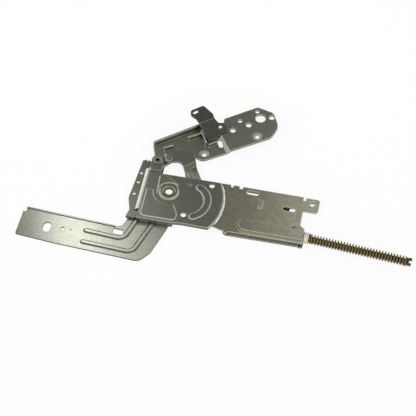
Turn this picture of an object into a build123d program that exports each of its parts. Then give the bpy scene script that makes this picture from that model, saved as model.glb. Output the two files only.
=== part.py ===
# Dishwasher door hinge: stamped base with a cover, a swinging door arm, a pull link, a rod and its spring.
import os
from math import acos, cos, radians, sin, sqrt, tan

from build123d import *

# sheet stock and stack levels, mm above the surface that the hinge lies on
SHEET = 1.5
STOUT = 2.0
BACK = 1.2
LAYER_GAP = 0.3
COVER_TOP = 8.5
STRIP_TOP = 5.5
HOUSING_TOP = 6.0
ROD_LOW = 1.8
ROD_THICK = 1.5
LINK_LOW = ROD_LOW + ROD_THICK + LAYER_GAP
WEB_LOW = LINK_LOW + STOUT + LAYER_GAP
WEB_TOP = WEB_LOW + STOUT
EAR_LOW = WEB_TOP + 0.2
EAR_TOP = EAR_LOW + SHEET
ARM_STEP = 2.0
LUG_TOP = WEB_TOP + 5.5
LINK_HIGH = WEB_TOP + LAYER_GAP

# pivots in plan
ARM_PIVOT = (-19.4, 36.9)
LINK_CRANK = 11.5
LINK_CRANK_ANGLE = 17.5
SPRING_START = (147.5, -27.2)
SPRING_ANGLE = -4.73
SPRING_AXIS_Z = 5.6
ROD_PIN_BACK = 110.0

# pins and running clearances
RUN = 0.05
PIVOT_R = 3.0
SPACER_R = 5.0
LINK_PIN_R = 2.5
ROD_PIN_R = 2.5
EYE_PLAY = 2.4
EYE_R = ROD_PIN_R + EYE_PLAY + 2.8
EYE_ROOM = 3.0

# hub
BORE_R = 3.75
BORE_LOW = 7.6
BORE_HIGH = BORE_LOW + SHEET
BOSS_R = 10.5
EMBOSS = 0.7
EMBOSS_SLOPE = 62
ARC_R = 56.6
ARC_CENTRE = (0.2, -6.2)

# spring and rod
SPRING_R = 5.0
SPRING_WIRE = 1.5
SPRING_LENGTH = 100.0
COLLAR_R = 5.5
COLLAR_LENGTH = 4.5
ROD_WIDTH = 5.5
ROD_SLIP = 0.2

# door arm direction and the lie of its step
ARM_ANGLE = 34.7
STEP_FROM = 74.0
STEP_TO = 78.0

# direction of the link across its joggle, and where the joggle lies along it
JOGGLE_ANGLE = -51.7
JOGGLE_FROM = -22.5
JOGGLE_TO = -19.5

# the two stiffening beads of the mounting arm
ARM_BEADS = (
    ((-72, -58.6), (-33.5, -61.5), (-25.5, -36)),
    ((-72, -72.6), (-21.5, -75.6), (-8.5, -36)),
)
BEAD_WIDTH = 5.6
BEAD_BEND = 9
BEAD_HEIGHT = 1.1

# upright lugs of the door arm: plan line and height
ARM_LUGS = (
    ((5.3, 69.5), (17.6, 77.9), LUG_TOP),
    ((16.6, 81.3), (25.0, 66.1), LUG_TOP),
    ((27.4, 65.4), (34.3, 70.6), WEB_TOP + 4),
    ((-16.1, 51.0), (-7.8, 56.1), LUG_TOP),
)

# latch bracket: corner and direction of its foot, its lean, and its rivets along and across the foot
LATCH_FOOT = (26.0, 72.4)
LATCH_DIR = 36.9
LATCH_LEAN = 40.0
LATCH_LENGTH = 20.6
LATCH_RIVETS = ((2.6, 5.2), (8.0, 5.2))

# solids that stand on their lower face
ON_FLOOR = (Align.CENTER, Align.CENTER, Align.MIN)

LINK_PIVOT = (
    ARM_PIVOT[0] + LINK_CRANK * cos(radians(LINK_CRANK_ANGLE)),
    ARM_PIVOT[1] + LINK_CRANK * sin(radians(LINK_CRANK_ANGLE)),
)
ROD_FRAME = Location((SPRING_START[0], SPRING_START[1], 0), (0, 0, SPRING_ANGLE))
ROD_PIN = (
    SPRING_START[0] - ROD_PIN_BACK * cos(radians(SPRING_ANGLE)),
    SPRING_START[1] - ROD_PIN_BACK * sin(radians(SPRING_ANGLE)),
)
# left edge of the housing plate, clear of the link's eye
HOUSING_LEFT = ROD_PIN[0] + EYE_R + EYE_ROOM


# closed outline through corners given as x, y and an optional corner radius
def outline(corners):
    spots = []
    count = len(corners)
    for i, corner in enumerate(corners):
        here = Vector(corner[0], corner[1])
        before = Vector(*corners[i - 1][:2])
        after = Vector(*corners[(i + 1) % count][:2])
        radius = corner[2] if len(corner) > 2 else 0
        if radius == 0:
            spots.append((here, None, here))
            continue
        to_before = (before - here).normalized()
        to_after = (after - here).normalized()
        half = acos(to_before.dot(to_after)) / 2
        centre = here + (to_before + to_after).normalized() * (radius / sin(half))
        middle = centre + (here - centre).normalized() * radius
        run = radius / tan(half)
        spots.append((here + to_before * run, middle, here + to_after * run))
    edges = []
    for i, (start, middle, end) in enumerate(spots):
        if middle is not None:
            edges.append(ThreePointArc(start, middle, end))
        following = spots[(i + 1) % count][0]
        if (following - end).length > 1e-6:
            edges.append(Line(end, following))
    return make_face(edges)


# sheet of an outline between two heights
def slab(face, low, high):
    return Pos(0, 0, low) * extrude(face, amount=high - low, dir=(0, 0, 1))


# round bar or hole at a place in plan
def bar(place, radius, low, high):
    return Pos(place[0], place[1], low) * Cylinder(radius, high - low, align=ON_FLOOR)


# straight slot cutter
def slot(place, length, width, angle, low, high):
    face = Pos(place[0], place[1]) * Rot(0, 0, angle) * SlotOverall(length, width)
    return slab(face, low, high)


# sheet area drawn upward with sloping sides
def tapered(face, height, slope):
    body = extrude(face, amount=height, taper=slope)
    return mirror(body, Plane.XY) if body.bounding_box().min.Z < -height / 2 else body


# pressed-up area: a raised pad on the sheet and the hollow below it
def pressed(sheet, face, top, height, slope, wall, thick=SHEET):
    pad = Pos(0, 0, top) * tapered(face, height, slope)
    hollow = Pos(0, 0, top - thick) * tapered(offset(face, -wall), height, slope)
    return sheet + pad - hollow


# path of a stamped bead with round ends
def bead(points, radius, width):
    path = FilletPolyline(*points, radius=radius)
    return make_face(offset(path, amount=width / 2).edges())


# L-shaped mounting arm that also carries the cover and the rear ear of the pivot
def mounting_arm():
    body = outline([
        (-139.4, -47.2), (-140.5, -75.9, 1.5), (-101, -79.4, 40), (-41, -82.9, 40), (-13.0, -84.6, 10),
        (-3.6, -72.5, 12), (6.5, -39.9, 20), (10, -20, 3), (-12.5, -18, 8), (-12.5, 38, 6.0),
        (-25.9, 44, 6.2), (-29.5, -12, 20), (-35.2, -37, 3), (-38.6, -47.3, 6), (-136.2, -41.6),
        (-136.5, -47.0),
    ])
    arm = slab(body, 0, SHEET)
    for points in ARM_BEADS:
        arm = pressed(arm, bead(points, BEAD_BEND, BEAD_WIDTH), SHEET, BEAD_HEIGHT, 52, 0.7)
    flange = outline([(-136.2, -41.6), (-44.5, -47.0), (-44.6, -48.5), (-136.3, -43.1)])
    arm += slab(flange, SHEET - 0.1, SHEET + 0.9)
    arm -= slot((-111.3, -61.9), 12, 8, 86.5, -1, 9)
    arm -= slot((-95.3, -61.3), 5, 4, 86.5, -1, 9)
    arm -= slab(Pos(-40.6, -53.5) * Rot(0, 0, -3.5) * RectangleRounded(10.5, 6.4, 0.8), -1, 9)
    arm -= bar((-87, -60.9), 1.2, SHEET - 0.3, 9)
    arm -= bar(ARM_PIVOT, PIVOT_R, -1, 9)
    return arm


# where the cover's round edge crosses a height in plan
def arc_x(y):
    return ARC_CENTRE[0] + sqrt(ARC_R ** 2 - (y - ARC_CENTRE[1]) ** 2)


# outline of the cover's raised plate, before its round edge cuts it
def cover_plan():
    beyond = ARC_CENTRE[0] + ARC_R + 3
    corner = arc_x(-33) - 2.8
    return outline([
        (-25.5, 23.5), (-13, 23.5), (-12, 21.5), (beyond, 21.5), (beyond, -24), (corner + 8.2, -24),
        (corner, -36.9, 1.5), (20, -36.3, 8), (9, -37.5, 4), (-25.5, -37.5, 1.5),
    ])


# deep-pressed hub cover with its bore boss, beads, screw strip and pivot ear
def hub_cover():
    disc = Pos(*ARC_CENTRE) * Circle(ARC_R)
    plan = cover_plan() & disc
    solid = slab(plan, SHEET, COVER_TOP)
    rim = [e for e in solid.edges().group_by(Axis.Z)[-1] if e.center().Y < 20 and e.center().X > -24]
    solid = fillet(rim, 1.8)
    solid -= slab(offset(plan, -SHEET), 0, COVER_TOP - SHEET)
    # open along the top and the left, and clear of the housing plate on the right
    solid -= Pos(0, 30, 0) * Box(130, 24, 2 * (COVER_TOP - SHEET))
    solid -= Pos(-24, 0, 0) * Box(12, 71.5, 2 * (COVER_TOP - SHEET))
    solid -= Pos(HOUSING_LEFT + 15.4, 0, 0) * Box(34, 90, 2 * HOUSING_TOP)
    # the foot of the lower wall runs out to the right
    solid -= Pos(33.5, -40, 0) * Box(45, 20, 2 * (COVER_TOP - 2 * SHEET))
    # boss round the bore
    profile = Polyline(
        (BORE_R, BORE_LOW), (BORE_R, BORE_HIGH), (5.5, BORE_HIGH), (6.8, BORE_HIGH + 1),
        (8.3, BORE_HIGH + 1), (BOSS_R, COVER_TOP), (BOSS_R, COVER_TOP - SHEET), (9.4, COVER_TOP - SHEET),
        (7.9, COVER_TOP), (7.1, COVER_TOP), (5.6, BORE_LOW), close=True,
    )
    solid -= bar((0, 0), BOSS_R - 0.2, 0, 20)
    solid += revolve(Plane.XZ * make_face(profile), Axis.Z)
    tear = outline([
        (-13.8, 18.6, 2), (-9.5, 20.3, 2), (-3, 18.6, 6), (7.5, 11, 5), (10, -2), (-12.2, -4),
    ]) - Circle(BOSS_R + 0.3)
    solid = pressed(solid, tear, COVER_TOP, EMBOSS, EMBOSS_SLOPE, 0.5)
    apron = outline([
        (-23.2, 0.2, 2), (-14, 0.2, 2), (2, -12.5), (7, -13, 3), (13.8, -25, 5), (13.8, -32.5, 3),
        (10.5, -34.6, 2), (-20, -34.6, 3), (-23.2, -32, 2),
    ]) - Circle(15.5)
    solid = pressed(solid, apron, COVER_TOP, EMBOSS, EMBOSS_SLOPE, 0.5)
    kidney = SlotArc(CenterArc((19.5, -7), 21, -62, 124), 8.5)
    solid = pressed(solid, kidney, COVER_TOP, EMBOSS, EMBOSS_SLOPE, 0.5)
    solid += bar((18.8, 13.5), 1.9, COVER_TOP, COVER_TOP + 0.5)
    for place, radius in (((41, 16), 2.6), ((20, -25.2), 2.7)):
        solid -= bar(place, radius, 0, 20)
    solid = solid + cover_strip() + cover_ear()
    # the beads of the mounting arm run in below the lower wall
    for points in ARM_BEADS:
        solid -= slab(bead(points, BEAD_BEND, BEAD_WIDTH + 0.8), 0, SHEET + BEAD_HEIGHT + 0.4)
    return solid


# lower strip along the left of the cover, its ramp and its foot
def cover_strip():
    plan = outline([
        (-35.0, 36.6, 1), (-31.0, 38.6, 1), (-29.4, 33), (-29.4, -25.0), (-31.0, -25.0), (-31.0, -27.2),
        (-25.4, -27.2), (-25.4, -35.5), (-36.8, -35.5), (-34.9, -27.0, 3), (-39.1, -12.8, 9),
    ])
    strip = slab(plan, STRIP_TOP - SHEET, STRIP_TOP)
    for place in ((-33.1, 20.4), (-33.6, 8.5), (-34.6, -6.5)):
        strip -= bar(place, 1.5, 0, 20)
    strip += slab(outline([(-36.8, -34), (-24.1, -34), (-24.1, -35.5), (-36.8, -35.5)]), SHEET, STRIP_TOP)
    ramp = Polyline(
        (-30, STRIP_TOP), (-29.4, STRIP_TOP), (-25.4, COVER_TOP), (-24.2, COVER_TOP),
        (-24.2, COVER_TOP - SHEET), (-24.9, COVER_TOP - SHEET), (-28.9, STRIP_TOP - SHEET),
        (-30, STRIP_TOP - SHEET), close=True,
    )
    strip += Pos(0, 27, 0) * extrude(Plane.XZ * make_face(ramp), amount=52.5)
    beside_ear = outline([(-30, 26), (-25.6, 26), (-25.6, 37, 2), (-30, 38)])
    strip += slab(beside_ear, STRIP_TOP - SHEET, STRIP_TOP)
    strip += slab(outline([(-25.5, -27), (-24, -27), (-24, -37.5), (-25.5, -37.5)]), SHEET, COVER_TOP)
    return strip


# stepped ear of the cover that holds the arm's pivot
def cover_ear():
    plan = outline([(-25, 25.7), (-13, 25.7), (-13, 37), (-25.8, 37)])
    ear = slab(plan, EAR_LOW, EAR_TOP) + bar(ARM_PIVOT, 6.5, EAR_LOW, EAR_TOP)
    step = Polyline(
        (22.6, COVER_TOP), (23.4, COVER_TOP), (25.4, EAR_TOP), (26.2, EAR_TOP), (26.2, EAR_LOW),
        (25.8, EAR_LOW), (23.8, COVER_TOP - SHEET), (22.6, COVER_TOP - SHEET), close=True,
    )
    ear += Pos(-25, 0, 0) * extrude(Plane.YZ * make_face(step), amount=12)
    return ear - bar(ARM_PIVOT, PIVOT_R, 0, 20)


# tray-like housing of the spring rod
def spring_housing():
    plan = outline([
        (HOUSING_LEFT, 23.3), (59.6, 23.3), (59.6, 20.4), (61.9, 20.4), (61.9, 23.3), (68.3, 23.2),
        (68.3, 20.2), (71.8, 20.2), (71.8, 23.1), (134.1, 22.3), (134.1, 18), (136.6, 18), (136.6, 21.8, 1),
        (150.9, 21.6, 3), (150.9, 4.8, 3), (135.9, 4.8, 1), (135.9, -12.5, 3), (141.6, -17.5),
        (141.6, -34.8), (61.6, -34.8, 2), (HOUSING_LEFT + 0.6, -31.2),
    ])
    tray = slab(plan, HOUSING_TOP - SHEET, HOUSING_TOP)
    for wall in (
        [(61.6, -34.8), (137.5, -34.8), (137.5, -33.3), (61.6, -33.3)],
        [(74, 21.4), (74, 23.0), (132.5, 22.3), (132.5, 20.8)],
        [(134.4, -11.5), (135.9, -11.5), (135.9, 3.5), (134.4, 3.5)],
    ):
        tray += slab(outline(wall), 0, HOUSING_TOP - 0.1)
    tray += slab(outline([(64, -36.2), (137.4, -36.2), (137.4, -34.7), (64, -34.7)]), 0, SHEET)
    tunnel = outline([
        (77, -16.6, 5), (132, -18.6), (150, -18.6), (150, -34.2), (79.5, -33.4, 7), (72.5, -25.5, 6),
    ])
    tray = pressed(tray, tunnel, HOUSING_TOP, 3.0, 32, 1.0)
    tray -= Pos(141.6 + 5, -27, 0) * Box(10, 24, 40)
    louvre = outline([(90.6, -1.2, 1), (95.6, -1.2, 1), (95.6, 10.8, 1), (90.6, 10.8, 1)])
    tray = pressed(tray, louvre, HOUSING_TOP, 1.2, 45, 0.6)
    tab = outline([(63, -34), (66.4, -34), (66.4, -37.2, 1), (63, -37.2, 1)])
    tray += slab(tab, HOUSING_TOP - SHEET, HOUSING_TOP)
    tray += slot((129.6, -15.4), 9, 3.2, 36, HOUSING_TOP - 0.2, HOUSING_TOP + 1.2)
    tray -= slot((82.7, 17.3), 12.3, 4.8, -1.5, 0, 20)
    tray -= slot((122.1, 4.3), 13, 4.5, -1.5, 0, 20)
    tray += Pos(143.9, 14.0, HOUSING_TOP) * Cone(5.0, 3.8, 1.6, align=ON_FLOOR)
    tray -= bar((143.9, 14.0), 2.6, 0, 20)
    return tray


# plate that closes the back of the housing
def housing_back():
    plan = outline([
        (62.5, -33.3), (137.5, -33.3), (137.5, -36.8, 1), (142.6, -36.8, 1), (142.6, -17.8), (134.4, -12.4),
        (134.4, 19, 2), (96, 19.5, 2), (94, 13, 3), (72, 13, 3), (62.5, 8, 4),
    ])
    plate = slab(plan, 0, BACK)
    return plate - slot((127, 7.3), 10, 8, -1.5, -1, 9)


# seat of the spring in the mouth of the tunnel
def spring_collar():
    disc = Rot(0, 90, 0) * Cylinder(COLLAR_R, COLLAR_LENGTH, align=(Align.CENTER, Align.CENTER, Align.MAX))
    seat = Pos(0, 0, SPRING_AXIS_Z) * disc
    seat += Pos(-COLLAR_LENGTH - 3.5, 0, BACK) * Box(7.4, 9, 6.0, align=ON_FLOOR)
    gap = 2 * ROD_SLIP
    seat -= Pos(-8, 0, SPRING_AXIS_Z) * Box(30, ROD_WIDTH + gap, ROD_THICK + gap)
    return ROD_FRAME * seat


# flat pull rod: eye end below the link, step up in the tunnel, forked end that holds the spring
def pull_rod():
    low = outline([
        (-ROD_PIN_BACK - 6.5, -6.5, 6.4), (-45, -6.5, 3), (-45, 6.5, 3), (-ROD_PIN_BACK - 6.5, 6.5, 6.4),
    ])
    raised = SPRING_AXIS_Z - ROD_THICK / 2
    half = ROD_WIDTH / 2
    high = outline([
        (-42, -half), (SPRING_LENGTH + 0.1, -half), (SPRING_LENGTH + 0.1, -4.6, 0.5),
        (SPRING_LENGTH + 4, -4.6, 0.8), (SPRING_LENGTH + 4, -1.8), (SPRING_LENGTH + 1.5, -1.8, 0.8),
        (SPRING_LENGTH + 1.5, 1.8, 0.8), (SPRING_LENGTH + 4, 1.8), (SPRING_LENGTH + 4, 4.6, 0.8),
        (SPRING_LENGTH + 0.1, 4.6, 0.5), (SPRING_LENGTH + 0.1, half), (-42, half),
    ])
    ramp = Polyline(
        (-48, ROD_LOW), (-46, ROD_LOW), (-42.5, raised), (-41, raised), (-41, raised + ROD_THICK),
        (-43.0, raised + ROD_THICK), (-46.5, ROD_LOW + ROD_THICK), (-48, ROD_LOW + ROD_THICK), close=True,
    )
    rod = slab(low, ROD_LOW, ROD_LOW + ROD_THICK) + slab(high, raised, raised + ROD_THICK)
    rod += Pos(0, half, 0) * extrude(Plane.XZ * make_face(ramp), amount=ROD_WIDTH)
    rod -= bar((-ROD_PIN_BACK, 0), ROD_PIN_R, 0, 20)
    return ROD_FRAME * rod


# pin of the rod with its wide head over the link's eye
def rod_pin():
    pin = bar(ROD_PIN, ROD_PIN_R, ROD_LOW, LINK_LOW + STOUT + 0.2)
    top = LINK_LOW + STOUT + 0.2
    return pin + bar(ROD_PIN, ROD_PIN_R + EYE_PLAY + 1.6, top, top + 0.8)


# spring as the sleeve that its turns fill
def door_spring():
    sleeve = Cylinder(SPRING_R, SPRING_LENGTH, align=ON_FLOOR)
    sleeve -= Cylinder(SPRING_R - SPRING_WIRE, SPRING_LENGTH, align=ON_FLOOR)
    return ROD_FRAME * Pos(0, 0, SPRING_AXIS_Z) * Rot(0, 90, 0) * sleeve


# curved pull link: upper end on top of the door arm, then a joggle down to the rod below the cover
def curved_link():
    plan = outline([
        (-8.4, 35.9), (3, 39.2, 6), (9.5, 31.5, 12), (12.0, 23.5, 20), (24, 2), (30.3, -18), (45.4, -18),
        (41, -4, 30), (33, 14, 30), (28.6, 23.8, 20), (21.8, 35.6, 20), (14.5, 53.5, 8), (-1, 54.0, 8),
        (-11.5, 43.6),
    ])
    plan += Pos(*LINK_PIVOT) * Circle(4.5)
    plan += Pos(*ROD_PIN) * Circle(EYE_R)
    profile = Polyline(
        (-90, LINK_HIGH), (JOGGLE_FROM, LINK_HIGH), (JOGGLE_TO, LINK_LOW), (90, LINK_LOW),
        (90, LINK_LOW + STOUT), (JOGGLE_TO + 0.8, LINK_LOW + STOUT), (JOGGLE_FROM + 0.8, LINK_HIGH + STOUT),
        (-90, LINK_HIGH + STOUT), close=True,
    )
    sheet = Rot(0, 0, JOGGLE_ANGLE) * Pos(0, 90, 0) * extrude(Plane.XZ * make_face(profile), amount=180)
    link = sheet & slab(plan, 0, 30)
    rib = bead([(14.2, 30.5), (17.5, 26), (24.5, 12)], 8, 5)
    link += Pos(0, 0, LINK_LOW + STOUT) * tapered(rib, 0.7, 35)
    link -= bar(LINK_PIVOT, LINK_PIN_R + RUN, 0, 20)
    link -= bar(ROD_PIN, ROD_PIN_R + EYE_PLAY, 0, 20)
    return link


# headed rivet that joins the link to the door arm
def link_rivet():
    seat = LINK_HIGH + STOUT + 0.2
    rivet = bar(LINK_PIVOT, LINK_PIN_R, WEB_LOW, seat)
    head = fillet(bar(LINK_PIVOT, 4.0, seat, seat + 1.2).edges().group_by(Axis.Z)[-1], 0.5)
    return rivet + head


# sheet lug folded up out of the door arm
def lug(start, end, top):
    along = (Vector(*end) - Vector(*start)).normalized()
    across = Vector(-along.Y, along.X) * (SHEET / 2)
    first = Vector(*start)
    last = Vector(*end)
    corners = (first - across, last - across, last + across, first + across)
    return slab(outline([(c.X, c.Y) for c in corners]), WEB_TOP - 0.5, top)


# door arm: one stepped sheet with an upturned edge, screw holes and upright lugs
def door_arm():
    plan = outline([
        (-28.8, 56.2, 1.5), (16, 91), (20.2, 80.1, 1.5), (36.6, 92.4, 1.5), (36.2, 103.6, 1),
        (67.2, 125.6, 2), (85, 121.2, 7), (93.4, 104, 14), (88.4, 88.4, 11), (25, 46.2, 8), (13.9, 50, 5),
        (-2, 42.4, 3), (-12.4, 30.6, 3), (-26.4, 33.0, 6), (-24.6, 44.6, 2),
    ])
    profile = Polyline(
        (-60, WEB_LOW), (STEP_FROM, WEB_LOW), (STEP_TO, WEB_LOW + ARM_STEP), (200, WEB_LOW + ARM_STEP),
        (200, WEB_TOP + ARM_STEP), (STEP_TO - 0.6, WEB_TOP + ARM_STEP), (STEP_FROM - 0.6, WEB_TOP),
        (-60, WEB_TOP), close=True,
    )
    sheet = Rot(0, 0, ARM_ANGLE) * Pos(0, 150, 0) * extrude(Plane.XZ * make_face(profile), amount=300)
    arm = sheet & slab(plan, 0, 30)
    flange = outline([(-28.4, 56.5), (16, 91), (17.2, 89.4), (-27.2, 54.9)])
    arm += slab(flange, WEB_LOW + 0.2, WEB_TOP + 6.0)
    for place, radius in (
        ((67.9, 119.6), 2.0), ((72.8, 111.4), 5.2), ((84, 114.8), 2.8), ((52.8, 103.8), 2.0),
        ((62.6, 100.3), 2.8), ((47.9, 90.1), 2.8), ((73.9, 87.3), 2.25), ((25, 54.8), 2.25),
        ((-14, 46.4), 1.25),
    ):
        arm -= bar(place, radius, 0, 30)
    for place, top in (((73.9, 87.3), WEB_TOP + ARM_STEP), ((25, 54.8), WEB_TOP)):
        arm -= Pos(place[0], place[1], top - 1.2) * Cone(2.25, 5.25, 1.2, align=ON_FLOOR)
    for start, end, top in ARM_LUGS:
        arm += lug(start, end, top)
    arm -= slot((38.4, 71.8), 10.5, 4.6, 115, 0, 30)
    for place in latch_rivet_places():
        arm -= bar(place, 1.6, 0, 30)
    arm -= bar(ARM_PIVOT, PIVOT_R + RUN, 0, 30)
    arm -= bar(LINK_PIVOT, LINK_PIN_R, 0, 30)
    return arm


# where the two rivets of the latch bracket sit
def latch_rivet_places():
    along = radians(LATCH_DIR)
    spots = []
    for a, m in LATCH_RIVETS:
        spots.append((
            LATCH_FOOT[0] + a * cos(along) - m * sin(along),
            LATCH_FOOT[1] + a * sin(along) + m * cos(along),
        ))
    return spots


# leaning latch bracket with a flat foot and a flat slotted tongue
def latch_bracket():
    frame = Location((LATCH_FOOT[0], LATCH_FOOT[1], WEB_TOP), (0, 0, LATCH_DIR))
    leaning = outline([
        (0, 0), (10.4, 0), (13.6, 3.4), (22.4, 3.4, 1.5), (23.6, 7.5, 3), (20.9, 12.8, 3), (16.1, 14.6, 1),
        (13.5, LATCH_LENGTH), (-3.6, LATCH_LENGTH),
    ])
    lean = Rot(LATCH_LEAN, 0, 0) * slab(leaning, 0, SHEET)
    lean -= Rot(LATCH_LEAN, 0, 0) * bar((16.6, 9.1), 1.9, -5, 9)
    foot = slab(outline([(0, -0.6), (10.2, -0.6), (10.2, 8.4, 2), (0, 8.4, 2)]), 0, SHEET)
    lift = LATCH_LENGTH * sin(radians(LATCH_LEAN))
    back = LATCH_LENGTH * cos(radians(LATCH_LEAN))
    tongue = outline([
        (-3.6, -1.0), (-4.0, 5.6, 4), (-6.8, 12.6, 4), (-4.4, 18.4, 4), (10.6, 18.6, 2), (14.6, 4.4, 2),
        (13.5, -1.0),
    ])
    plate = Pos(0, back, lift) * slab(tongue, 0, SHEET)
    plate -= Pos(0, back, lift) * slot((-0.6, 14.2), 6.4, 3.4, 12, -5, 9)
    bracket = lean + foot + plate
    for a, m in LATCH_RIVETS:
        bracket -= bar((a, m), 1.6, -1, SHEET + 0.2)
    return frame * bracket


# rivet of the latch bracket
def latch_rivet(place):
    rivet = bar(place, 1.6, WEB_LOW, WEB_TOP + SHEET)
    return rivet + bar(place, 2.4, WEB_TOP + SHEET, WEB_TOP + SHEET + 0.8)


# headed hollow pivot pin of the door arm
def arm_pivot_pin():
    pin = bar(ARM_PIVOT, PIVOT_R, 0, EAR_TOP)
    head = bar(ARM_PIVOT, 5.3, EAR_TOP, EAR_TOP + 1.2)
    head = fillet(head.edges().group_by(Axis.Z)[-1], 0.5)
    return pin + head - bar(ARM_PIVOT, 3.6, EAR_TOP + 0.7, 30) - bar(ARM_PIVOT, 2.0, EAR_LOW - 4, 30)


# tube that keeps the door arm off the mounting arm
def pivot_spacer():
    return bar(ARM_PIVOT, SPACER_R, SHEET, WEB_LOW - 0.1) - bar(ARM_PIVOT, PIVOT_R, 0, 20)


# weld tack at the foot of the cover's round edge
def weld_tack(angle):
    place = (
        ARC_CENTRE[0] + (ARC_R + 0.4) * cos(radians(angle)),
        ARC_CENTRE[1] + (ARC_R + 0.4) * sin(radians(angle)),
    )
    tack = Sphere(1.3) - Box(4, 4, 4, align=(Align.CENTER, Align.CENTER, Align.MAX))
    tack = Pos(place[0], place[1], HOUSING_TOP) * tack
    return tack - Pos(*ARC_CENTRE, 0) * Cylinder(ARC_R, 60)


os.makedirs("parts", exist_ok=True)
PARTS = {
    "mounting_arm": mounting_arm(),
    "hub_cover": hub_cover(),
    "spring_housing": spring_housing(),
    "housing_back": housing_back(),
    "spring_collar": spring_collar(),
    "arm_pivot_pin": arm_pivot_pin(),
    "pivot_spacer": pivot_spacer(),
    "door_arm": door_arm(),
    "latch_bracket": latch_bracket(),
    "link_rivet": link_rivet(),
    "curved_link": curved_link(),
    "pull_rod": pull_rod(),
    "rod_pin": rod_pin(),
    "door_spring": door_spring(),
}
for number, place in enumerate(latch_rivet_places(), 1):
    PARTS[f"latch_rivet_{number}"] = latch_rivet(place)
for number, angle in enumerate((20, 0, -11, -22), 1):
    PARTS[f"weld_tack_{number}"] = weld_tack(angle)
# the frame's origin is the middle of the bore
for name, shape in PARTS.items():
    export_step(Pos(0, 0, -(BORE_LOW + BORE_HIGH) / 2) * shape, f"parts/{name}.step")
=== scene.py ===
import math

import bpy
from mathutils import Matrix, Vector


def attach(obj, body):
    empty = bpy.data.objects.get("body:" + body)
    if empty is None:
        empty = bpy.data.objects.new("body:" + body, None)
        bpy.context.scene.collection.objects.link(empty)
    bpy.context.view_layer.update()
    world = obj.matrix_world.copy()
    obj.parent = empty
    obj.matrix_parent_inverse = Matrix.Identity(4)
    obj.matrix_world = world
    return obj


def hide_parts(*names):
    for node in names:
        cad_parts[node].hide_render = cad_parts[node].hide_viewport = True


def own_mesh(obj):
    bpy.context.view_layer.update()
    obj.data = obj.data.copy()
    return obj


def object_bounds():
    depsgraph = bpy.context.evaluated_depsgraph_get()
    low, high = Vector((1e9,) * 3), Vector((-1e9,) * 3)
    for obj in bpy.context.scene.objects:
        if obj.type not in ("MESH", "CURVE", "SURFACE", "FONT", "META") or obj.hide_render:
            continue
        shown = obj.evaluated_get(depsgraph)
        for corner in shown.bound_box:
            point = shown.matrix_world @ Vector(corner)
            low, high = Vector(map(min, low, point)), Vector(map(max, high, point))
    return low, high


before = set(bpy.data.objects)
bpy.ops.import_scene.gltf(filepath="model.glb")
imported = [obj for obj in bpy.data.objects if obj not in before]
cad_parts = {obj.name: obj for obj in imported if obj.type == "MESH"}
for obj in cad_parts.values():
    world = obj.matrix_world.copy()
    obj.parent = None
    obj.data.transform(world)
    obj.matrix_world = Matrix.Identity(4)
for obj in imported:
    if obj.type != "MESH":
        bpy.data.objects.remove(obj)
cad_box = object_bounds()
scene = bpy.context.scene
UP = Vector((0, 0, 1))

# Spring along the rod, in metres
SPRING_START = Vector((0.1475, -0.0272, -0.00275))
SPRING_ANGLE = math.radians(-4.73)
SPRING_DIR = Vector((math.cos(SPRING_ANGLE), math.sin(SPRING_ANGLE), 0))
SPRING_LENGTH = 0.100
SPRING_TURNS = 34
SPRING_R = 0.005
WIRE_R = 0.00075
TURN_STEPS = 22
TUBE_SIDES = 10

# Weld seam at the foot of the cover's round edge, in metres and degrees
SEAM_CENTRE = Vector((0.0002, -0.0062, -0.0019))
SEAM_ARC_R = 0.0567
SEAM_FROM = -25.0
SEAM_TO = 29.0
SEAM_R = 0.0009
SEAM_STEPS = 110
SEAM_TIP = 0.3
SEAM_TAPER = 8

# Ripples of the seam: share of its radius, radians per step, radians at the start
SEAM_RIPPLES = ((0.16, 1.7, 0), (0.12, 0.61, 1))

# Noises of a sheet: scale and detail
CLOUD = (30.0, 4.0)
PATCH = (180.0, 6.0)
FINE = (950.0, 2.0)

# Finish of a sheet with its painted light and shade: factors of its own colour, and ranges of its noises
# and masks
MOTTLE_RANGE = (0.4, 0.7)
MOTTLE_GAIN = 4
MOTTLE_DARK = 0.55
FINE_RANGE = (0.3, 0.7)
SPECK_LIGHT = 1.08
ROUGH_SPREAD = 0.025
EDGE_METALLIC = 0.2
BUMP_STRENGTH = 0.012
BUMP_DEPTH = 0.0002
# reach and range of the painted shade in corners and hollows
CORNER_SHADE_REACH = 0.004
CORNER_SHADE_RANGE = (0.35, 0.8)
TILT_SOFTNESS = 0.12
SHADER_SAMPLES = 8

# Grease round the bore: radii in metres, its most and the factor of its dark spots
GREASE_RING = (0.0075, 0.0122)
GREASE_MOST = 0.6
GREASE_DARK = 0.4

# Places in metres: the link's upper end, darkened with painted shade; the foot of the cover's left
# slope, lit with a painted highlight; the step of its ear, darkened with painted shade
UPPER_Y = (0.029, 0.035)
FOOT_X = (-0.0266, -0.0278)
STEP_X = (-0.0245, -0.0235)
STEP_Y = (0.0224, 0.0230)
STEP_END_Y = 0.0259

# Y of the normal where a face begins to look at the front, and where it does so fully, for the cover's
# painted shade
FRONT_NORMAL = (-0.5, -0.7)

# Floor
FLOOR_Z = cad_box[0].z
FLOOR_SIDE = 6.0
FLOOR_GREY = 0.9
FLOOR_GLOW = 0.88

# Dome of light: direction of its dark patch, the patch's core and edge in degrees, the two levels
DARK_WAY = (-0.06, 0.52, 0.852)
DARK_CORE = 20
DARK_EDGE = 54
DOME_BRIGHT = 1.5
DOME_DARK = 0.08

# Soft boxes that the mounting arm, its leg and the housing mirror: place, target, width, depth, watts
SOFT_BOXES = {
    "arm_box": ((-0.178, 0.222, 0.393), (-0.085, -0.06, -0.008), 0.05, 0.14, 0.068),
    "leg_box": ((-0.115, 0.205, 0.393), (-0.04, -0.062, -0.008), 0.09, 0.08, 0.028),
    "housing_box": ((0.13, 0.27, 0.39), (0.12, -0.01, 0), 0.09, 0.12, 0.08),
}

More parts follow.
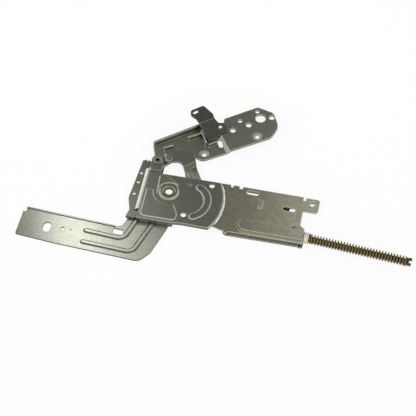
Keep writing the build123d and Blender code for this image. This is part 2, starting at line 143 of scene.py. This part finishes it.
# Camera of the photograph, in metres, lens and sensor in millimetres
CAMERA_PLACE = (0.2825, -1.1915, 1.59745)
CAMERA_WAY = (-0.12000, 0.58973, -0.79864)
CAMERA_LENS = 173.08
CAMERA_SENSOR = 36.0
CAMERA_REACH = 50


# a colour of 0 to 255 as linear light
def srgb(r, g, b):
    return [((c / 255 + 0.055) / 1.055) ** 2.4 for c in (r, g, b)]


def scaled(colour, factor):
    return [c * factor for c in colour]


# Tones of edges, partly wear and partly painted highlight; of painted shade on the pale arm's edges and
# tilted faces; of the grease round the bore; and of the weld, whose near-white tone is partly a painted
# highlight
WEAR_AND_HIGHLIGHT = srgb(215, 214, 198)
PAINTED_SHADE = srgb(80, 81, 72)
GREASE = srgb(116, 110, 78)
WELD_AND_GLINT = srgb(232, 231, 220)


# another node's socket, or a plain value, into a socket
def feed(tree, value, socket):
    if isinstance(value, bpy.types.NodeSocket):
        tree.links.new(value, socket)
    else:
        socket.default_value = value


# new shader node with its settings and then its inputs, by name or number
def add(tree, kind, inputs=(), **settings):
    node = tree.nodes.new("ShaderNode" + kind)
    for name, value in settings.items():
        setattr(node, name, value)
    for socket, value in dict(inputs).items():
        feed(tree, value, node.inputs[socket])
    return node


# noise in the piece's own coordinates
def noise(tree, coord, scale, detail):
    inputs = {"Vector": coord.outputs["Object"], "Scale": scale, "Detail": detail}
    return add(tree, "TexNoise", inputs).outputs["Fac"]


# two colours mixed by a socket
def mixed(tree, factor, low, high):
    low, high = (c if isinstance(c, bpy.types.NodeSocket) else (*c, 1) for c in (low, high))
    return add(tree, "Mix", {0: factor, 6: low, 7: high}, data_type="RGBA").outputs[2]


# a value moved from one range to another
def remap(tree, value, start, end, low=0.0, high=1.0, curve="LINEAR"):
    inputs = {"Value": value, "From Min": start, "From Max": end, "To Min": low, "To Max": high}
    return add(tree, "MapRange", inputs, interpolation_type=curve).outputs["Result"]


def maths(tree, operation, a, b):
    return add(tree, "Math", {0: a, 1: b}, operation=operation).outputs[0]


# one axis of a piece's own place ("Object") or normal ("Normal")
def axis(tree, coord, kind, letter):
    return add(tree, "SeparateXYZ", {"Vector": coord.outputs[kind]}).outputs[letter]


# normal that is rounded over near edges
def bevelled(tree, radius):
    return add(tree, "Bevel", {"Radius": radius}, samples=SHADER_SAMPLES).outputs["Normal"]


# how near a point lies to a sheared edge or a fold, from 0 to 1, where a tone of wear and painted
# highlight goes
def edge_mask(tree, width, turned):
    flat = add(tree, "NewGeometry").outputs["Normal"]
    likeness = add(tree, "VectorMath", {0: bevelled(tree, width), 1: flat}, operation="DOT_PRODUCT")
    return remap(tree, likeness.outputs["Value"], 1.0, turned)


# how far a point is out of the corners and hollows that get painted shade, from 0 to 1
def out_of_corner_shade(tree):
    hollow = add(tree, "AmbientOcclusion", {"Distance": CORNER_SHADE_REACH}, samples=SHADER_SAMPLES)
    return remap(tree, hollow.outputs["AO"], *CORNER_SHADE_RANGE)


# how far a face of the sheet is turned away from flat, from 0 to 1; such faces take a tone of painted
# shade, on the cover of painted highlight
def tilt_mask(tree, coord, steep):
    return remap(tree, axis(tree, coord, "Normal", "Z"), steep + TILT_SOFTNESS, steep)


# faces of the cover that get painted shade, which look at the front or are the step of its ear, from 0
# to 1
def front_shade_mask(tree, coord):
    front = remap(tree, axis(tree, coord, "Normal", "Y"), *FRONT_NORMAL)
    y = axis(tree, coord, "Object", "Y")
    before_end = maths(tree, "LESS_THAN", y, STEP_END_Y)
    step = maths(tree, "MULTIPLY", remap(tree, y, *STEP_Y), before_end)
    beside = remap(tree, axis(tree, coord, "Object", "X"), *STEP_X)
    return maths(tree, "MAXIMUM", front, maths(tree, "MULTIPLY", step, beside))


# how near a tilted face lies to the foot of the cover's left slope, which gets a painted highlight, from
# 0 to 1
def foot_highlight_mask(tree, coord, steep):
    foot = remap(tree, axis(tree, coord, "Object", "X"), *FOOT_X)
    return maths(tree, "MULTIPLY", tilt_mask(tree, coord, steep), foot)


# how far a point lies towards the link's upper end, which gets painted shade, from 0 to 1
def upper_shade_mask(tree, coord):
    return remap(tree, axis(tree, coord, "Object", "Y"), *UPPER_Y)


# how greasy a point is, by its distance from the bore at the origin
def bore_mask(tree, coord):
    flat = add(tree, "VectorMath", {0: coord.outputs["Object"], 1: (1, 1, 0)}, operation="MULTIPLY")
    reach = add(tree, "VectorMath", {0: flat.outputs["Vector"]}, operation="LENGTH")
    return remap(tree, reach.outputs["Value"], *GREASE_RING, GREASE_MOST, 0.0)


# Steel sheet, wire, weld or plastic: a drifting tone, fine grain, painted shade in corners, edges of
# another tone (partly wear, partly painted highlight), and painted light and shade by the faces' turn
# and place
def steel(
    name, colour, edge_wear_and_painted_light, metallic=0.9, rough=0.38, drift=0.12, mottle=0.1, corner=0.2,
    edge=0.0007, turned=0.78, fold_r=0.0004, painted_tilt_tone=None, steep=0.85,
    upper_shade=None, foot_highlight=None, front_shade=None, greasy=False,
):
    mat = bpy.data.materials.new(name)
    mat.use_nodes = True
    tree = mat.node_tree
    bsdf = tree.nodes["Principled BSDF"]
    coord = add(tree, "TexCoord")
    cloud = noise(tree, coord, *CLOUD)
    patch = noise(tree, coord, *PATCH)
    fine = noise(tree, coord, *FINE)
    sheet = mixed(tree, cloud, scaled(colour, 1 - drift), scaled(colour, 1 + drift))
    if mottle:
        spot = remap(tree, patch, *MOTTLE_RANGE, 0.0, mottle * MOTTLE_GAIN)
        sheet = mixed(tree, spot, sheet, scaled(colour, MOTTLE_DARK))
    sheet = mixed(tree, remap(tree, fine, *FINE_RANGE), sheet, scaled(colour, SPECK_LIGHT))
    # painted shade: the link darkens towards its upper end, under the door arm
    if upper_shade:
        sheet = mixed(tree, upper_shade_mask(tree, coord), sheet, upper_shade)
    # painted light and shade: faces turned away from flat take another tone, darker on most parts and
    # lighter on the cover
    if painted_tilt_tone:
        sheet = mixed(tree, tilt_mask(tree, coord, steep), sheet, painted_tilt_tone)
    # painted highlight at the foot of the cover's left slope
    if foot_highlight:
        sheet = mixed(tree, foot_highlight_mask(tree, coord, steep), sheet, foot_highlight)
    # edges and folds take another tone: partly wear, partly painted highlight, and painted shade on the
    # pale arm
    near = edge_mask(tree, edge, turned)
    sheet = mixed(tree, near, sheet, edge_wear_and_painted_light)
    # painted shade on the cover's front faces and on the step of its ear
    if front_shade:
        sheet = mixed(tree, front_shade_mask(tree, coord), sheet, front_shade)
    if greasy:
        stain = mixed(tree, patch, GREASE, scaled(GREASE, GREASE_DARK))
        sheet = mixed(tree, bore_mask(tree, coord), sheet, stain)
    # painted shade: corners and hollows darken towards a share of the sheet's own colour
    sheet = mixed(tree, out_of_corner_shade(tree), scaled(colour, corner), sheet)
    feed(tree, sheet, bsdf.inputs["Base Color"])
    gloss = remap(tree, fine, *FINE_RANGE, rough - ROUGH_SPREAD, rough + ROUGH_SPREAD)
    feed(tree, gloss, bsdf.inputs["Roughness"])
    if metallic:
        metal = remap(tree, near, 0.0, 1.0, metallic, metallic * EDGE_METALLIC)
        feed(tree, metal, bsdf.inputs["Metallic"])
    relief = {"Strength": BUMP_STRENGTH, "Distance": BUMP_DEPTH, "Height": fine}
    relief["Normal"] = bevelled(tree, fold_r)
    feed(tree, add(tree, "Bump", relief).outputs["Normal"], bsdf.inputs["Normal"])
    return mat


# In the looks below, the tones of tilted faces are painted shade (painted highlight on the cover); the
# cover's foot tone is a painted highlight, its front tone painted shade, and the link's upper tone
# painted shade
MATERIALS = {
    "cover": steel(
        "cover_steel", srgb(146, 148, 134), WEAR_AND_HIGHLIGHT, rough=0.3, fold_r=0.0006, painted_tilt_tone=srgb(164, 165, 151),
        foot_highlight=srgb(208, 208, 196), front_shade=srgb(98, 99, 89), greasy=True,
    ),
    "housing": steel(
        "housing_steel", srgb(162, 160, 141), srgb(200, 198, 180), rough=0.33, drift=0.25, mottle=0.2,
        edge=0.0012, turned=0.9, painted_tilt_tone=srgb(112, 109, 93),
    ),
    # pale arm: its edges and tilted faces get a dark painted shade
    "pale": steel("pale_steel", srgb(192, 193, 179), PAINTED_SHADE, rough=0.24, edge=0.0009, painted_tilt_tone=PAINTED_SHADE),
    "arm": steel(
        "arm_steel", srgb(160, 162, 146), WEAR_AND_HIGHLIGHT, rough=0.32, edge=0.0009, fold_r=0.0016,
        painted_tilt_tone=srgb(96, 98, 86), steep=0.6,
    ),
    # link: a light base tone that darkens with painted shade towards its upper end
    "link": steel(
        "link_steel", srgb(186, 188, 172), WEAR_AND_HIGHLIGHT, rough=0.34, fold_r=0.0009, painted_tilt_tone=srgb(88, 90, 79),
        upper_shade=srgb(138, 140, 124),
    ),
    "latch": steel(
        "latch_steel", srgb(80, 82, 75), srgb(160, 161, 146), metallic=0.6, mottle=0.2,
        painted_tilt_tone=srgb(48, 49, 44),
    ),
    # weld: its near-white tone is partly a painted highlight along the bead
    "weld": steel("weld_steel", WELD_AND_GLINT, WELD_AND_GLINT, metallic=0.1, rough=0.34, mottle=0.03, corner=0.6),
    "bright": steel("bright_steel", srgb(186, 185, 170), WEAR_AND_HIGHLIGHT, metallic=0.95, rough=0.33),
    "spring": steel("spring_wire_steel", srgb(112, 98, 54), srgb(150, 136, 86), rough=0.36, edge=0.0001),
    "rod": steel("rod_steel", srgb(104, 97, 72), srgb(160, 152, 122), rough=0.36),
    "collar": steel(
        "collar_plastic", srgb(186, 181, 165), srgb(205, 201, 186), metallic=0.0, rough=0.5, drift=0.03,
        mottle=0, corner=0.75,
    ),
}

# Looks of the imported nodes; the pins, tacks and the spacer that aren't named are bright
NODE_LOOKS = {
    "hub_cover": "cover",
    "arm_pivot_pin": "cover",
    "spring_housing": "housing",
    "housing_back": "housing",
    "mounting_arm": "pale",
    "door_arm": "arm",
    "curved_link": "link",
    "link_rivet": "arm",
    "latch_bracket": "latch",
    "latch_rivet_1": "latch",
    "latch_rivet_2": "latch",
    "door_spring": "spring",
    "pull_rod": "rod",
    "spring_collar": "collar",
}
for name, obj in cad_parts.items():
    obj.data.materials.clear()
    obj.data.materials.append(MATERIALS[NODE_LOOKS.get(name, "bright")])


# how far along the rod the wire is after some turns: a closed turn at each end, even pitch between
def coil_run(turns):
    wire = 2 * WIRE_R
    if turns < 1:
        return WIRE_R + wire * turns
    if turns > SPRING_TURNS - 1:
        return SPRING_LENGTH - WIRE_R - wire * (SPRING_TURNS - turns)
    return WIRE_R + wire + (SPRING_LENGTH - 3 * wire) * (turns - 1) / (SPRING_TURNS - 2)


# new mesh object with one material
def piece(name, verts, faces, material):
    mesh = bpy.data.meshes.new(name)
    mesh.from_pydata(verts, [], faces)
    obj = bpy.data.objects.new(name, mesh)
    scene.collection.objects.link(obj)
    obj.data.materials.append(material)
    return obj


# tube through rings, each a centre, two directions across and a radius
def tube(name, rings, material):
    verts, faces = [], []
    for centre, u, v, radius in rings:
        for k in range(TUBE_SIDES):
            a = 2 * math.pi * k / TUBE_SIDES
            verts.append(centre + u * (radius * math.cos(a)) + v * (radius * math.sin(a)))
    last = len(rings) - 1
    for i in range(last):
        for k in range(TUBE_SIDES):
            a = i * TUBE_SIDES + k
            b = i * TUBE_SIDES + (k + 1) % TUBE_SIDES
            faces.append((a, a + TUBE_SIDES, b + TUBE_SIDES, b))
    faces.append(tuple(range(TUBE_SIDES)))
    faces.append(tuple(last * TUBE_SIDES + k for k in reversed(range(TUBE_SIDES))))
    obj = piece(name, verts, faces, material)
    obj.data.shade_smooth()
    return obj


# Coil of round wire round the rod
def coil():
    side = Vector((-SPRING_DIR.y, SPRING_DIR.x, 0))
    rings = []
    for i in range(SPRING_TURNS * TURN_STEPS + 1):
        turns = i / TURN_STEPS
        out = side * math.cos(2 * math.pi * turns) + UP * math.sin(2 * math.pi * turns)
        centre = SPRING_START + SPRING_DIR * coil_run(turns) + out * (SPRING_R - WIRE_R)
        rings.append((centre, out, SPRING_DIR, WIRE_R))
    return tube("door_spring_coil", rings, MATERIALS["spring"])


# Uneven bead of weld that thins out at both ends
def weld_seam():
    rings = []
    for i in range(SEAM_STEPS + 1):
        share = i / SEAM_STEPS
        angle = math.radians(SEAM_FROM + (SEAM_TO - SEAM_FROM) * share)
        out = Vector((math.cos(angle), math.sin(angle), 0))
        ripple = 1 + sum(size * math.sin(i * rate + start) for size, rate, start in SEAM_RIPPLES)
        thin = min(1, SEAM_TIP + SEAM_TAPER * share, SEAM_TIP + SEAM_TAPER * (1 - share))
        rings.append((SEAM_CENTRE + out * SEAM_ARC_R, out, UP, SEAM_R * ripple * thin))
    return tube("weld_seam", rings, MATERIALS["weld"])


spring = coil()
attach(spring, "base")
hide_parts("door_spring")
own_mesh(spring)

seam = weld_seam()
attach(seam, "base")


# White floor that shows as the background and keeps a faint shadow
def white_floor():
    mat = bpy.data.materials.new("floor_white")
    mat.use_nodes = True
    tree = mat.node_tree
    tree.nodes.clear()
    path = add(tree, "LightPath").outputs
    seen = maths(tree, "MAXIMUM", path["Is Camera Ray"], path["Is Glossy Ray"])
    seen = maths(tree, "MAXIMUM", seen, path["Is Transmission Ray"])
    paint = add(tree, "BsdfDiffuse", {"Color": (FLOOR_GREY, FLOOR_GREY, FLOOR_GREY, 1)})
    glow = add(tree, "Emission", {"Strength": 1.0})
    share = maths(tree, "MULTIPLY", seen, FLOOR_GLOW)
    both = add(tree, "MixShader", {0: share, 1: paint.outputs[0], 2: glow.outputs[0]})
    add(tree, "OutputMaterial", {"Surface": both.outputs[0]})
    signs = ((-1, -1), (1, -1), (1, 1), (-1, 1))
    corners = [(x * FLOOR_SIDE, y * FLOOR_SIDE, FLOOR_Z) for x, y in signs]
    return piece("floor", corners, [(0, 1, 2, 3)], mat)


floor = white_floor()


# Soft studio surroundings: bright all round, dark overhead where the flat sheets look
def studio():
    world = bpy.data.worlds.new("studio")
    world.use_nodes = True
    tree = world.node_tree
    tree.nodes.clear()
    way = add(tree, "TexCoord").outputs["Generated"]
    toward = add(tree, "VectorMath", {0: way, 1: DARK_WAY}, operation="DOT_PRODUCT").outputs["Value"]
    rim, core = (math.cos(math.radians(a)) for a in (DARK_EDGE, DARK_CORE))
    fade = remap(tree, toward, rim, core, curve="SMOOTHSTEP")
    shade = mixed(tree, fade, [DOME_BRIGHT] * 3, [DOME_DARK] * 3)
    dome = add(tree, "Background", {"Color": shade, "Strength": 1.0})
    add(tree, "OutputWorld", {"Surface": dome.outputs["Background"]})
    return world


scene.world = studio()


# lamp or camera at a place, looking one way
def aimed(name, data, place, way):
    obj = bpy.data.objects.new(name, data)
    scene.collection.objects.link(obj)
    obj.location = place
    obj.rotation_euler = Vector(way).to_track_quat("-Z", "Y").to_euler()
    return obj


for name, (place, target, width, depth, power) in SOFT_BOXES.items():
    light = bpy.data.lights.new(name, "AREA")
    light.shape = "RECTANGLE"
    light.size = width
    light.size_y = depth
    light.energy = power
    aimed(name, light, place, Vector(target) - Vector(place))

camera = bpy.data.cameras.new("camera")
camera.sensor_width = CAMERA_SENSOR
camera.lens = CAMERA_LENS
camera.clip_end = CAMERA_REACH
scene.camera = aimed("camera", camera, CAMERA_PLACE, CAMERA_WAY)
scene.view_settings.view_transform = "Standard"
